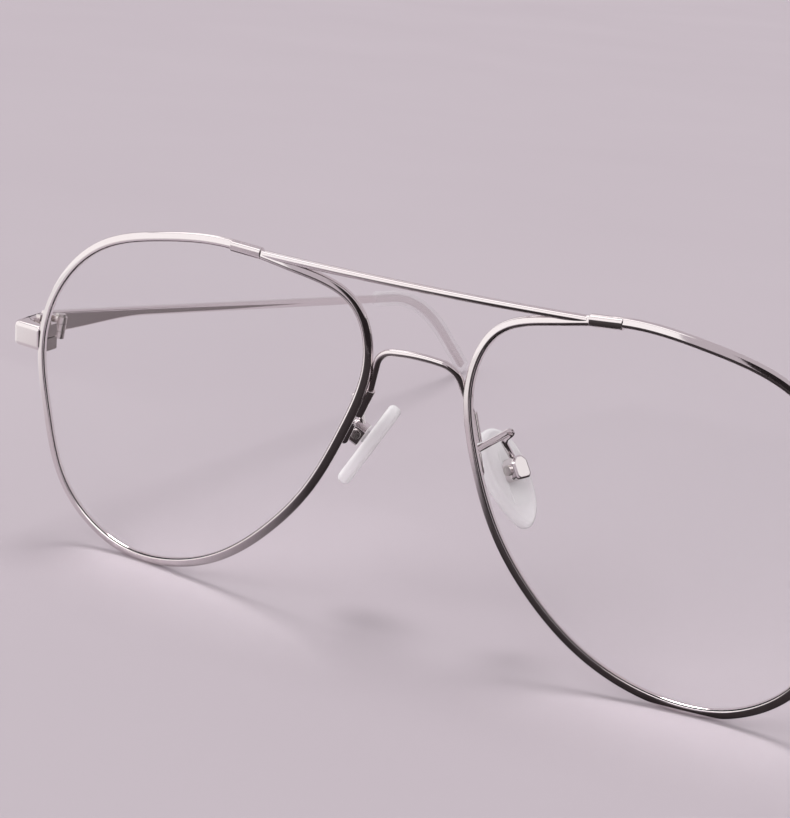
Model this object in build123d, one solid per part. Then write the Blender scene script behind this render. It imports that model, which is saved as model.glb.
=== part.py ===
# Double bridge glasses: a wire frame with two drop-shaped rims, a straight brow bar over a small
# lower bridge, clear lenses, adjustable nose pads and two folding temples.
# Millimetres. X runs to the wearer's left, Y runs back from the lenses to the temple tips and
# Z points up. The glasses stand open on a table, on the bottoms of the rims and the temple tips.
from build123d import *
from math import atan2, cos, degrees, radians, sin, sqrt
import os

os.makedirs("parts", exist_ok=True)

# Lenses
lens_width = 56.0
lens_height = 51.0
lens_gap = 16.8
lens_radius = 96.0
lens_thickness = 0.9
lens_bevel = 0.3
lens_clearance = 0.1

# Rim wire: a rounded bar with a groove for the lens along its inner side
rim_height = 1.2
rim_depth = 1.6
rim_round = 0.4
groove_depth = 0.45
groove_mouth = 1.1
groove_floor = 0.4
rim_split_gap = 0.15
guide_share = 0.5

# Rim centre line, as shares of its half width and half height, from its split upwards
rim_outline_shares = [
    (1.01, 0.183), (0.935, 0.475), (0.625, 0.83), (0.24, 0.96), (-0.175, 1.0),
    (-0.56, 0.93), (-0.895, 0.785), (-1.0, 0.525), (-0.92, 0.095), (-0.74, -0.305),
    (-0.53, -0.58), (-0.2, -0.855), (0.15, -0.985), (0.505, -0.97), (0.855, -0.675),
    (0.96, -0.2465),
]

# Brow bar and the sleeves that clasp it to the tops of the rims
bar_diameter = 1.2
bar_dip = 0.4
bar_setback = 4.0
sleeve_inner_x = 25.4
sleeve_outer_x = 31.1
sleeve_height = 1.55
sleeve_depth = 2.1
sleeve_round = 0.6
sleeve_rise = 0.15
sleeve_sink = 0.15

# Lower bridge: one bent wire whose ends stand in two sleeves behind the rims
bridge_diameter = 1.1
bridge_top_height = 15.0
bridge_top_setback = 4.4
bridge_corner_x = 6.1
bridge_corner_height = 14.25
bridge_corner_setback = 4.6
bridge_corner_radius = 3.5
bridge_crown_radius = 30.0
post_top = (8.2, 6.25, 7.9)
post_bottom = (9.65, 5.6, 4.0)
post_diameter = 1.7
post_socket = 1.6

# Pad arm: a foot on the back of the rim and a wire that loops back to the pad box
foot_top = (10.0, 5.2, 3.1)
foot_bottom = (11.25, 4.7, -0.4)
foot_diameter = 1.1
arm_diameter = 1.0
arm_root = (10.05, 5.4, 3.2)
arm_apex = (14.3, 12.2, 6.6)
arm_drop = (11.6, 9.8, 3.8)
arm_apex_radius = 0.65
arm_bend_radius = 0.8
arm_socket = 0.3

# Nose pads: the pad's own axes run down its length, out of its nose face and across it
pad_centre = (11.33, 12.44, -2.71)
pad_down = (0.501, -0.147, -0.853)
pad_face = (-0.812, 0.262, -0.522)
pad_length = 15.0
pad_width = 7.8
pad_thickness = 2.0
pad_round = 0.8
pad_outline_shares = [
    (-0.08, -0.97), (0.5, -0.8), (0.75, -0.32), (0.63, 0.18), (0.21, 0.7),
    (-0.42, 1.03), (-0.97, 0.81), (-1.25, 0.28), (-1.22, -0.22), (-0.78, -0.79),
]
core_width = 3.0
core_length = 8.4
core_shift = 0.7
core_thickness = 0.7
core_round = 0.6
lug_thickness = 1.1
lug_radius = 0.85

# Pad box: a small cup that holds the pad's lug on a cross screw
box_width = 2.9
box_length = 3.4
box_depth = 2.5
box_gap = 0.35
box_above_centre = 0.8
box_pivot_depth = 1.15
box_slot_width = 1.2
box_slot_length = 2.3
box_back_wall = 0.4
box_shoulder = 0.8
box_edge = 0.25
pad_screw_diameter = 0.8
pad_screw_head_diameter = 1.5
pad_screw_head_height = 0.35
screw_clearance = 0.04

# Hinge: its axis leans with the temple, which slopes down to the back, and leans inwards at
# its top, so that the folded temples cross one above the other
hinge_beyond_split = 1.97
hinge_behind_split = 6.57
hinge_above_split = 0.26
temple_slope = 9.7
hinge_lean = 3.5
knuckle_radius = 1.05
knuckle_height = 1.1
knuckle_gap = 0.06
leaf_thickness = 0.8
leaf_height = 3.0
front_leaf_length = 2.7
front_leaf_gap = 0.4
temple_leaf_length = 4.6
hinge_screw_diameter = 0.9
hinge_screw_head_diameter = 1.6
hinge_screw_head_height = 0.4

# End piece: from the rim outwards, round the corner and back to the hinge
end_piece_outer = 4.1
end_piece_wall = 1.6
end_piece_front = 2.1
end_piece_sweep = 0.9
end_piece_height = 4.0
end_piece_corner = 1.3
end_piece_edge = 0.35
end_piece_throat = 0.9
temple_butt_gap = 0.1

# Closing block: two halves, together as tall as the end piece, that clamp the rim round the lens
block_width = 2.4
block_depth = 2.5
block_edge = 0.2
rim_screw_diameter = 0.9
rim_screw_head_diameter = 1.5
rim_screw_head_height = 0.45
rim_screw_length = 3.4

# Temple: a tall flat front whose lower edge tapers up to a slim bar, bent down behind the ear
temple_thickness = 1.2
temple_offset = 3.3
temple_front_top = 1.75
temple_front_bottom = -1.75
temple_bar_height = 1.5
temple_bar_round = 0.35
temple_taper_shares = [(0.0, 1.0), (0.3, 0.8), (0.62, 0.38), (1.0, 0.0)]
temple_taper_length = 27.0
temple_straight = 113.0
ear_bend_angle = 40.0
ear_bend_radius = 34.0
ear_bend_inward = 13.5
ear_end_length = 10.5

# Temple tip: a clear sleeve over the end of the bar
tip_start = 8.0
tip_height = 3.0
tip_thickness = 2.2
tip_round = 0.9
tip_wall_end = 1.2
tip_clearance = 0.03

# Shared overrun for cuts
overrun = 2.0

# Worked out from the sizes above
rim_inset = rim_height / 2 - groove_depth
rim_half_width = lens_width / 2 + rim_inset
rim_half_height = lens_height / 2 + rim_inset
lens_centre_x = lens_gap / 2 + lens_width / 2
rim_points = [(a * rim_half_width, b * rim_half_height) for a, b in rim_outline_shares]
rim_outline = Spline(rim_points, periodic=True)
bridge_radius = bridge_diameter / 2
post_radius = post_diameter / 2
split_across = rim_points[0][0]
split_height = rim_points[0][1]
split_setback = lens_radius - sqrt(lens_radius**2 - split_across**2 - split_height**2)
hinge_x = lens_centre_x + split_across + hinge_beyond_split
hinge_setback = split_setback + hinge_behind_split
hinge_height = split_height + hinge_above_split
hinge_frame = Location((hinge_x, hinge_setback, hinge_height), (-temple_slope, -hinge_lean, 0))
pad_axes = Plane(origin=pad_centre, x_dir=Vector(pad_down), z_dir=Vector(pad_face))
bar_line_height = temple_front_top - temple_bar_height / 2


def sag(u, v):
    """How far the lens surface lies behind its front point at u across and v up."""
    return lens_radius - sqrt(lens_radius**2 - u**2 - v**2)


def on_lens(u, v):
    """The point of the lens surface at u across and v up from the lens centre."""
    return Vector(lens_centre_x + u, sag(u, v), v)


def rim_curve(share=1.0):
    """The rim's centre line from one side of its split round to the other.

    A share below one gives the same curve drawn in towards the centre of the lens sphere.
    """
    centre = Vector(lens_centre_x, lens_radius, 0)
    points = [centre + (on_lens(u, v) - centre) * share for u, v in rim_points]
    half_gap = rim_split_gap / 2 / rim_outline.length
    return Spline(points, periodic=True).trim(half_gap, 1 - half_gap)


def sweep_rim(section, path):
    """Sweep a section made on rim_plane along the rim, square to the lens surface all the way."""
    return Solid.sweep(section.face(), path, mode=rim_curve(guide_share))


def rim_plane(path):
    """A plane across the start of the rim: x away from the lens, y square to the lens."""
    start = path @ 0
    tangent = path % 0
    back = (Vector(lens_centre_x, lens_radius, 0) - start).normalized()
    return Plane(origin=start, x_dir=back.cross(tangent), z_dir=tangent)


def make_rim(path):
    """The rim wire with its lens groove."""
    inner = -rim_height / 2
    with BuildSketch(rim_plane(path)) as section:
        RectangleRounded(rim_height, rim_depth, rim_round)
        with BuildLine():
            Polyline(
                (inner - groove_depth, groove_mouth / 2),
                (inner, groove_mouth / 2),
                (inner + groove_depth, groove_floor / 2),
                (inner + groove_depth, -groove_floor / 2),
                (inner, -groove_mouth / 2),
                (inner - groove_depth, -groove_mouth / 2),
                close=True,
            )
        make_face(mode=Mode.SUBTRACT)
    return sweep_rim(section.sketch, path)


def make_rim_blank(path):
    """The rim's outer form without the groove, for fitting what is soldered to it."""
    with BuildSketch(rim_plane(path)) as section:
        RectangleRounded(rim_height, rim_depth, rim_round)
    return sweep_rim(section.sketch, path)


def inset_points(distance):
    """The points of the rim outline moved inwards by a distance."""
    points = []
    for u, v in rim_points:
        here = Vector(u, v)
        tangent = rim_outline % rim_outline.param_at_point(here)
        inward = Vector(0, 0, 1).cross(tangent).normalized()
        points.append(here + inward * distance)
    return points


def lens_shell(thickness):
    """A wide curved shell of even thickness that follows the lens surface."""
    outer = Sphere(lens_radius + thickness / 2)
    inner = Sphere(lens_radius - thickness / 2)
    return Pos(lens_centre_x, lens_radius, 0) * (outer - inner)


def lens_cone(inset):
    """A cone from the centre of the lens sphere through the rim outline moved inwards."""
    depth = sag(rim_half_width, rim_half_height) + rim_depth + overrun
    wires = []
    for setback in (-overrun, depth):
        points = []
        for point in inset_points(inset):
            distance = lens_radius - sag(point.X, point.Y)
            spread = (lens_radius - setback) / distance
            points.append(Vector(lens_centre_x + point.X * spread, setback, point.Y * spread))
        wires.append(Wire([Spline(points, periodic=True)]))
    return Solid.make_loft(wires, ruled=True)


def make_lens(inset, thickness, bevel):
    """A lens cut to the outline square to its surface, bevelled along both edges if asked."""
    lens = (lens_cone(inset) & lens_shell(thickness)).solids()[0]
    if bevel:
        rims = [edge for edge in lens.edges() if edge.length > lens_width]
        lens = lens.chamfer(bevel, None, rims)
    return lens


def rod(start, end, radius):
    """A straight round bar between two points."""
    start = Vector(start)
    end = Vector(end)
    plane = Plane(origin=start, z_dir=end - start)
    return extrude(plane * Circle(radius), amount=(end - start).length).solids()[0]


def round_wire(path, radius):
    """A round wire along a path."""
    plane = Plane(origin=path @ 0, z_dir=path % 0)
    return sweep(plane * Circle(radius), path=path).solids()[0]


def rim_top(x):
    """The height and setback of the rim's centre line above the lens at a distance from the nose."""
    u = x - lens_centre_x
    low = 0.0
    high = 0.5
    while high - low > 1e-9:
        middle = (low + high) / 2
        if (rim_outline @ middle).X > u:
            low = middle
        else:
            high = middle
    v = (rim_outline @ low).Y
    return Vector(x, sag(u, v), v)


def make_brow_sleeve(blank, lens_room):
    """A clasp round the top of the rim, open below where the lens sits."""
    inner = rim_top(sleeve_inner_x) + Vector(0, 0, sleeve_rise)
    outer = rim_top(sleeve_outer_x) - Vector(0, 0, sleeve_sink)
    plane = Plane(origin=inner, x_dir=(0, 1, 0), z_dir=outer - inner)
    body = extrude(
        plane * RectangleRounded(sleeve_depth, sleeve_height, sleeve_round),
        amount=(outer - inner).length,
    )
    ends = body.faces().filter_by(GeomType.PLANE).sort_by(SortBy.AREA)[-2:]
    body = fillet([edge for face in ends for edge in face.edges()], sleeve_round / 4)
    clasp = body - blank - lens_room
    return clasp.solids().sort_by(SortBy.VOLUME)[-1]


def make_brow_bar(blank):
    """The straight upper bar, ground to lie on the rims where it runs into the sleeves."""
    end = rim_top(sleeve_inner_x) + Vector(0, 0, sleeve_rise)
    dip = end.Z - bar_dip
    path = ThreePointArc((-end.X, end.Y, end.Z), (0, bar_setback, dip), (end.X, end.Y, end.Z))
    half = round_wire(path.trim(0.5, 1), bar_diameter / 2) - blank
    half = half.solids().sort_by(SortBy.VOLUME)[-1]
    return (half + mirrored(half)).solids()[0]


def bridge_end():
    """Where the lower bridge's wire ends inside its sleeve."""
    top = Vector(post_top)
    down = (Vector(post_bottom) - top).normalized()
    return top + down * post_socket


def make_bridge(blanks):
    """The lower bridge: a low arch with two legs that splay and lean back into their sleeves."""
    foot = bridge_end()
    top = Vector(post_top)
    corner = Vector(bridge_corner_x, bridge_corner_setback, bridge_corner_height)
    crown = Vector(0, bridge_top_setback, bridge_top_height)
    half = [foot, top, corner]
    points = half + [crown] + [Vector(-p.X, p.Y, p.Z) for p in reversed(half)]
    knee = bridge_diameter * 2
    radii = [knee, bridge_corner_radius, bridge_crown_radius, bridge_corner_radius, knee]
    path = FilletPolyline(*points, radius=radii)
    bridge = round_wire(path, bridge_radius)
    for blank in blanks:
        bridge = bridge - blank
    return bridge.solids().sort_by(SortBy.VOLUME)[-1]


def make_bridge_sleeve(blank, bridge):
    """The post behind the rim that the lower bridge's leg stands in."""
    post = rod(post_top, post_bottom, post_radius)
    ends = post.edges().filter_by(GeomType.CIRCLE)
    post = fillet(ends, post_radius / 4)
    return (post - blank - bridge).solids().sort_by(SortBy.VOLUME)[-1]


def box_point(depth, along, across=0.0):
    """A point in the pad's frame: behind its middle plane, down its length and across it."""
    return pad_axes.from_local_coords(Vector(along, across, -depth))


def pad_frame(depth, along, across=0.0):
    """A frame at a point behind the pad, with the directions of the pad's own axes."""
    point = box_point(depth, along, across)
    return Plane(origin=point, x_dir=pad_axes.x_dir, z_dir=pad_axes.z_dir).location


def box_front_depth():
    """How far the mouth of the pad box lies behind the middle of the pad."""
    return pad_thickness / 2 + box_gap


def pivot_depth():
    """How far the cross screw lies behind the middle of the pad."""
    return box_front_depth() + box_pivot_depth


def make_pad_arm(blank, box):
    """A foot soldered along the back of the rim and the wire that loops back to the pad box."""
    foot = rod(foot_top, foot_bottom, foot_diameter / 2)
    foot = fillet(foot.edges().filter_by(GeomType.CIRCLE), foot_diameter / 3)
    top = -box_above_centre - box_length / 2
    end = box_point(box_front_depth() + box_depth / 2, top + arm_socket)
    radii = [arm_apex_radius, arm_bend_radius]
    path = FilletPolyline(arm_root, arm_apex, arm_drop, end, radius=radii)
    wire = round_wire(path, arm_diameter / 2)
    return (foot + wire - blank - box).solids().sort_by(SortBy.VOLUME)[-1]


def make_pad_box():
    """A cup with sloping shoulders, slotted for the pad's lug and drilled for the cross screw."""
    front = box_front_depth()
    plane = Plane(
        origin=box_point(front + box_depth, -box_above_centre),
        x_dir=pad_axes.x_dir,
        z_dir=pad_axes.z_dir,
    )
    half_length = box_length / 2
    half_width = box_width / 2
    with BuildSketch(plane) as outline:
        with BuildLine():
            Polyline(
                (half_length, -half_width + box_shoulder / 2),
                (half_length - box_shoulder / 2, -half_width),
                (-half_length + box_shoulder, -half_width),
                (-half_length, -half_width + box_shoulder),
                (-half_length, half_width - box_shoulder),
                (-half_length + box_shoulder, half_width),
                (half_length - box_shoulder / 2, half_width),
                (half_length, half_width - box_shoulder / 2),
                close=True,
            )
        make_face()
    body = extrude(outline.sketch, amount=box_depth)
    back = body.faces().sort_by(Axis(plane.origin, plane.z_dir))[0]
    body = chamfer(back.edges(), box_edge)
    slot_plane = plane.offset(box_back_wall)
    slot = extrude(slot_plane * Rectangle(box_slot_length, box_slot_width), amount=box_depth)
    hole = rod(
        box_point(pivot_depth(), -box_above_centre, -box_width),
        box_point(pivot_depth(), -box_above_centre, box_width),
        pad_screw_diameter / 2,
    )
    return (body - slot - hole).solids()[0]


def make_pad_screw():
    """The cross screw, with its head on the front cheek of the box."""
    across = box_width / 2
    shank = rod(
        box_point(pivot_depth(), -box_above_centre, -across),
        box_point(pivot_depth(), -box_above_centre, across),
        pad_screw_diameter / 2,
    )
    head = rod(
        box_point(pivot_depth(), -box_above_centre, across),
        box_point(pivot_depth(), -box_above_centre, across + pad_screw_head_height),
        pad_screw_head_diameter / 2,
    )
    return (shank + head).solids()[0]


def make_pad_core():
    """The hard plate in the back of the pad, with the lug that hangs on the cross screw."""
    outline = RectangleRounded(core_length, core_width, core_round)
    plate = extrude(pad_frame(pad_thickness / 2, 0, -core_shift) * outline, amount=core_thickness)
    web_start = pad_thickness / 2 - core_thickness
    web_length = pivot_depth() - web_start
    web = pad_frame(web_start + web_length / 2, -box_above_centre) * Box(
        2 * lug_radius, lug_thickness, web_length
    )
    barrel = rod(
        box_point(pivot_depth(), -box_above_centre, -lug_thickness / 2),
        box_point(pivot_depth(), -box_above_centre, lug_thickness / 2),
        lug_radius,
    )
    hole = rod(
        box_point(pivot_depth(), -box_above_centre, -box_width),
        box_point(pivot_depth(), -box_above_centre, box_width),
        pad_screw_diameter / 2 + screw_clearance,
    )
    return (plate + web + barrel - hole).solids()[0]


def make_nose_pad(core):
    """The soft pad: a rounded drop, hollowed in the back for the core plate."""
    points = [(b * pad_length / 2, a * pad_width / 2) for a, b in pad_outline_shares]
    outline = make_face(Spline(points, periodic=True).edges())
    body = extrude(pad_axes * outline, amount=pad_thickness / 2, both=True).solids()[0]
    rims = [edge for edge in body.edges() if edge.length > pad_length]
    body = fillet(rims, pad_round)
    return (body - core).solids().sort_by(SortBy.VOLUME)[-1]


def upright(radius, low, high):
    """A round bar on the hinge axis between two heights."""
    return Pos(0, 0, (low + high) / 2) * Cylinder(radius, high - low)


def knuckle_bands():
    """The three barrels' heights along the hinge axis, from the bottom up."""
    pitch = knuckle_height + knuckle_gap
    bottom = -knuckle_height / 2 - pitch
    return [(bottom + i * pitch, bottom + i * pitch + knuckle_height) for i in range(3)]


def block(x_range, y_range, z_range):
    """A box between named limits."""
    size = [high - low for low, high in (x_range, y_range, z_range)]
    middle = [(low + high) / 2 for low, high in (x_range, y_range, z_range)]
    return Pos(*middle) * Box(*size)


def make_front_hinge():
    """The leaf on the end piece with the top and bottom barrels."""
    bands = knuckle_bands()
    wall = end_piece_outer - end_piece_wall
    leaf_front = -front_leaf_gap - front_leaf_length
    hinge = block(
        (wall - leaf_thickness, wall),
        (leaf_front, -front_leaf_gap),
        (-leaf_height / 2, leaf_height / 2),
    )
    for low, high in (bands[0], bands[2]):
        web = block((0, wall), (-knuckle_radius, -front_leaf_gap), (low, high))
        hinge = hinge + upright(knuckle_radius, low, high) + web
    bore = upright(hinge_screw_diameter / 2, bands[0][0], bands[2][1])
    return (hinge - bore).solids()[0]


def make_temple_hinge():
    """The leaf on the temple with the middle barrel."""
    wall = temple_offset - temple_thickness / 2
    gap = temple_butt_gap + knuckle_gap
    leaf = block(
        (wall - leaf_thickness, wall),
        (gap, gap + temple_leaf_length),
        (-leaf_height / 2, leaf_height / 2),
    )
    tail = leaf.edges().filter_by(Axis.X).group_by(Axis.Y)[-1]
    leaf = fillet(tail, leaf_height / 3)
    low, high = knuckle_bands()[1]
    web = block((0, wall), (gap, knuckle_radius), (low, high))
    hinge = leaf + upright(knuckle_radius, low, high) + web
    bore = upright(hinge_screw_diameter / 2 + screw_clearance, low, high)
    return (hinge - bore).solids()[0]


def make_hinge_screw():
    """The pivot screw, with its head on the top barrel."""
    bands = knuckle_bands()
    top = bands[2][1]
    shank = upright(hinge_screw_diameter / 2, bands[0][0], top)
    head = upright(hinge_screw_head_diameter / 2, top, top + hinge_screw_head_height)
    return (shank + head).solids()[0]


def make_end_piece(blank, leaf):
    """A lug from the rim outwards and back, flat in front, with the hinge leaf let into it."""
    split = on_lens(*rim_points[0])
    front = split.Y - rim_depth / 2
    back = front + end_piece_front
    outer = hinge_x + end_piece_outer
    wall = outer - end_piece_wall
    rear = hinge_setback + overrun
    with BuildSketch() as plan:
        with BuildLine():
            Polyline(
                (split.X, front),
                (outer, front + end_piece_sweep),
                (outer, rear),
                (wall, rear),
                (wall, back + end_piece_sweep + end_piece_throat),
                (wall - end_piece_throat, back + end_piece_sweep),
                (split.X, back),
                close=True,
            )
        make_face()
        corner = plan.vertices().sort_by_distance((outer, front + end_piece_sweep))[0]
        fillet(corner, end_piece_corner)
    bottom = split.Z - end_piece_height / 2
    body = extrude(Pos(0, 0, bottom) * plan.sketch, amount=end_piece_height)
    limit = front + end_piece_sweep + end_piece_corner
    softened = [
        edge
        for face in body.faces().filter_by(Axis.Z)
        for edge in face.edges()
        if edge.center().Y < limit and edge.center().X > split.X + end_piece_edge
    ]
    body = chamfer(softened, end_piece_edge)
    butt = hinge_frame * block(
        (0, end_piece_outer + overrun),
        (-temple_butt_gap, hinge_setback),
        (-hinge_setback, hinge_setback),
    )
    return (body - butt - blank - leaf).solids().sort_by(SortBy.VOLUME)[-1]


def make_closing_blocks(blank, end_piece):
    """The two halves behind the rim, one above and one below its split, and their screw."""
    split = on_lens(*rim_points[0])
    inner = split.X - rim_height / 4
    half_gap = rim_split_gap / 2
    half_height = end_piece_height / 2
    screw_x = inner + block_width / 2
    screw_y = split.Y + rim_depth / 2 + block_depth / 2
    top = split.Z + half_height
    bore = rod(
        (screw_x, screw_y, split.Z - half_height), (screw_x, screw_y, top), rim_screw_diameter / 2
    )
    shank = rod(
        (screw_x, screw_y, top - rim_screw_length), (screw_x, screw_y, top), rim_screw_diameter / 2
    )
    head = rod(
        (screw_x, screw_y, top),
        (screw_x, screw_y, top + rim_screw_head_height),
        rim_screw_head_diameter / 2,
    )
    halves = []
    for low, high in ((half_gap, half_height), (-half_height, -half_gap)):
        half = block(
            (inner, inner + block_width),
            (split.Y, split.Y + rim_depth / 2 + block_depth),
            (split.Z + low, split.Z + high),
        )
        rear_corners = half.edges().filter_by(Axis.Z).group_by(Axis.Y)[-1]
        half = fillet(rear_corners, block_edge) - bore - blank - end_piece
        halves.append(half.solids().sort_by(SortBy.VOLUME)[-1])
    return halves[0], halves[1], (shank + head).solids()[0]


def temple_path(start):
    """The temple bar's centre line from a distance behind the hinge to its end."""
    turn = radians(ear_bend_angle)
    inward = radians(ear_bend_inward)
    down = Vector(-sin(inward), 0, -cos(inward)) * ear_bend_radius
    back = Vector(0, 1, 0) * ear_bend_radius
    first = Vector(temple_offset, start, bar_line_height)
    knee = Vector(temple_offset, temple_straight, bar_line_height)
    middle = knee + back * sin(turn / 2) + down * (1 - cos(turn / 2))
    bent = knee + back * sin(turn) + down * (1 - cos(turn))
    heading = (back * cos(turn) + down * sin(turn)).normalized()
    return first, knee, middle, bent, bent + heading * ear_end_length, heading


def bar_wire(start, extra=0.0):
    """The temple bar's path as a wire, lengthened at its end if asked."""
    first, knee, middle, bent, end, heading = temple_path(start)
    return Wire([
        Edge.make_line(first, knee),
        Edge.make_three_point_arc(knee, middle, bent),
        Edge.make_line(bent, end + heading * extra),
    ])


def sweep_bar(width, height, rounding, path):
    """A bar of rounded rectangular section along the temple's path."""
    plane = Plane(origin=path @ 0, x_dir=(1, 0, 0), z_dir=(0, 1, 0))
    return sweep(plane * RectangleRounded(width, height, rounding), path=path).solids()[0]


def make_temple():
    """The temple: a tapered blade from the hinge that runs on as a slim bar to its end."""
    bar_bottom = temple_front_top - temple_bar_height
    extra = bar_bottom - temple_front_bottom
    lower = [(s * temple_taper_length, bar_bottom - h * extra) for s, h in temple_taper_shares]
    side = Plane(
        origin=(temple_offset - temple_thickness / 2, 0, 0), x_dir=(0, 1, 0), z_dir=(1, 0, 0)
    )
    with BuildSketch(side) as profile:
        with BuildLine():
            Line((0, temple_front_top), (temple_taper_length, temple_front_top))
            Line((temple_taper_length, temple_front_top), lower[-1])
            Spline(lower, tangents=((1, 0), (1, 0)))
            Line(lower[0], (0, temple_front_top))
        make_face()
    blade = extrude(profile.sketch, amount=temple_thickness)
    long_edges = [edge for edge in blade.edges() if edge.length > temple_taper_length / 2]
    blade = fillet(long_edges, temple_bar_round)
    wire = bar_wire(temple_taper_length)
    bar = sweep_bar(temple_thickness, temple_bar_height, temple_bar_round, wire)
    return (blade + bar).solids()[0]


def make_temple_tip():
    """The clear sleeve over the last stretch of the bar, bored for it and closed at its end."""
    start = temple_straight - tip_start
    outer = sweep_bar(tip_thickness, tip_height, tip_round, bar_wire(start, tip_wall_end))
    end_faces = outer.faces().filter_by(GeomType.PLANE).sort_by(Axis.Y)
    outer = fillet(end_faces[-1].edges(), tip_round / 2)
    outer = outer.solids()[0]
    mouth = outer.faces().filter_by(GeomType.PLANE).sort_by(Axis.Y)[0]
    outer = fillet(mouth.edges(), tip_round / 2).solids()[0]
    bore = sweep_bar(
        temple_thickness + 2 * tip_clearance,
        temple_bar_height + 2 * tip_clearance,
        temple_bar_round,
        bar_wire(start - overrun, tip_clearance),
    )
    return (outer - bore).solids()[0]


def mirrored(solid):
    """The same piece for the wearer's right side."""
    return mirror(solid, about=Plane.YZ).solids()[0]


def lowest(solid):
    """The height and setback of a solid's lowest stretch."""
    box = solid.bounding_box()
    slice_box = block(
        (box.min.X - overrun, box.max.X + overrun),
        (box.min.Y - overrun, box.max.Y + overrun),
        (box.min.Z - overrun, box.min.Z + tip_clearance),
    )
    contact = (solid & slice_box).bounding_box()
    return box.min.Z, (contact.min.Y + contact.max.Y) / 2


def resting_tilt(rim, tip):
    """The turn about X that brings the rim's bottom and the temple tip to one level."""
    angle = 0.0
    for _ in range(4):
        turn = Rot(angle, 0, 0)
        rim_z, rim_y = lowest(turn * rim)
        tip_z, tip_y = lowest(turn * tip)
        angle += degrees(atan2(rim_z - tip_z, tip_y - rim_y))
    return angle


def main():
    path = rim_curve()
    blank = make_rim_blank(path)
    rim = make_rim(path)
    lens = make_lens(rim_inset + lens_clearance, lens_thickness, lens_bevel)
    lens_room = make_lens(rim_inset, rim_depth, 0)
    blanks = [blank, mirrored(blank)]

    bridge = make_bridge(blanks)
    core = make_pad_core()
    box = make_pad_box()
    front_hinge = hinge_frame * make_front_hinge()
    end_piece = make_end_piece(blank, front_hinge)
    block_upper, block_lower, rim_screw = make_closing_blocks(blank, end_piece)

    left = {
        "rim": rim,
        "lens": lens,
        "brow_sleeve": make_brow_sleeve(blank, lens_room),
        "bridge_sleeve": make_bridge_sleeve(blank, bridge),
        "pad_arm": make_pad_arm(blank, box),
        "pad_box": box,
        "pad_core": core,
        "nose_pad": make_nose_pad(core),
        "end_piece": end_piece,
        "closing_block_upper": block_upper,
        "closing_block_lower": block_lower,
        "front_hinge": front_hinge,
        "temple_hinge": hinge_frame * make_temple_hinge(),
        "temple": hinge_frame * make_temple(),
        "temple_tip": hinge_frame * make_temple_tip(),
    }
    shared = {
        "rim_screws": rim_screw,
        "pad_screws": make_pad_screw(),
        "hinge_screws": hinge_frame * make_hinge_screw(),
    }

    nodes = {"brow_bar": [make_brow_bar(blank)], "bridge": [bridge]}
    for name, solid in left.items():
        nodes[name + "_left"] = [solid.solids()[0]]
        nodes[name + "_right"] = [mirrored(solid)]
    for name, solid in shared.items():
        nodes[name] = [solid.solids()[0], mirrored(solid)]

    tilt = resting_tilt(nodes["rim_left"][0], nodes["temple_tip_left"][0])
    stand = Rot(tilt, 0, 0)
    whole = stand * Compound([solid for solids in nodes.values() for solid in solids])
    bounds = whole.bounding_box()
    shift = Pos(0, -(bounds.min.Y + bounds.max.Y) / 2, -bounds.min.Z)
    place = shift * stand

    for name, solids in nodes.items():
        placed = [place * solid for solid in solids]
        shape = placed[0] if len(placed) == 1 else Compound(placed)
        shape.label = name
        export_step(shape, "parts/" + name + ".step")

    print("size", [round(v, 3) for v in tuple(bounds.size)], "tilt", round(tilt, 3))
    hinge = place * hinge_frame
    print("hinge left at", tuple(hinge.position), "axis", tuple(hinge.z_axis.direction))
    pivot = place * Pos(*tuple(box_point(pivot_depth(), -box_above_centre)))
    axis = (place * pad_axes.location).y_axis.direction
    print("pad pivot left at", tuple(pivot.position), "axis", tuple(axis))


main()
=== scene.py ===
# %% [markdown]
# # Double bridge glasses
# Wire glasses with two drop-shaped rims, a straight brow bar over a small lower bridge, clear lenses,
# rocking nose pads and folding temples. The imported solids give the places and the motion. This lesson
# gives them smooth, polished surfaces, milky soft pads, slotted screws, and a small studio.

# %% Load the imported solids
import math
import bmesh
import bpy
import numpy as np
from mathutils import Matrix, Vector


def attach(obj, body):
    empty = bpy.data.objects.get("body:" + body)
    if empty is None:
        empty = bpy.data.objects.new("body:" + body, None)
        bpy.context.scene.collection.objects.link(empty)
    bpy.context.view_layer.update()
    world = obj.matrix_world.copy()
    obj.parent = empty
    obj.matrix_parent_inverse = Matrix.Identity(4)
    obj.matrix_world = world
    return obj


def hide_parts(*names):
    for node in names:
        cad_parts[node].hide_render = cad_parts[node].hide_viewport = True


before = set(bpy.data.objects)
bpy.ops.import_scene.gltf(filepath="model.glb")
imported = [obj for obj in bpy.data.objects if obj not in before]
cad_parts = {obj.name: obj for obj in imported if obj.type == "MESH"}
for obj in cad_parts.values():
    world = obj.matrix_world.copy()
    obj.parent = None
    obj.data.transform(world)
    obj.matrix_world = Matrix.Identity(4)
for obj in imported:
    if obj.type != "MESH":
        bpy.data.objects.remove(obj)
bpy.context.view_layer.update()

scene = bpy.context.scene
scene.view_settings.view_transform = "Standard"
mm = 0.001

# %% [markdown]
# The front of real glasses is drawn first, flat, and then set at the angle at which it stands on a
# table. The values here are in millimetres in that drawing: x to the wearer's left, y back from the
# front of the lenses, z up from the middle of the lens box. One function stands the drawing on its
# rims and temple tips, in metres, so that every piece lands where its solid is.

# %% From the drawing to the table
stand_angle = math.radians(2.972)
stand_shift = np.array([0.0, -76.127, 26.135])


def turn_x(angle):
    """A rotation about the axis that runs from hinge to hinge."""
    return np.array(Matrix.Rotation(angle, 3, "X"))


def standing(points):
    """Points of the drawing, in millimetres, as places on the table in metres."""
    return (np.atleast_2d(np.array(points, float)) @ turn_x(stand_angle).T + stand_shift) * mm


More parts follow.
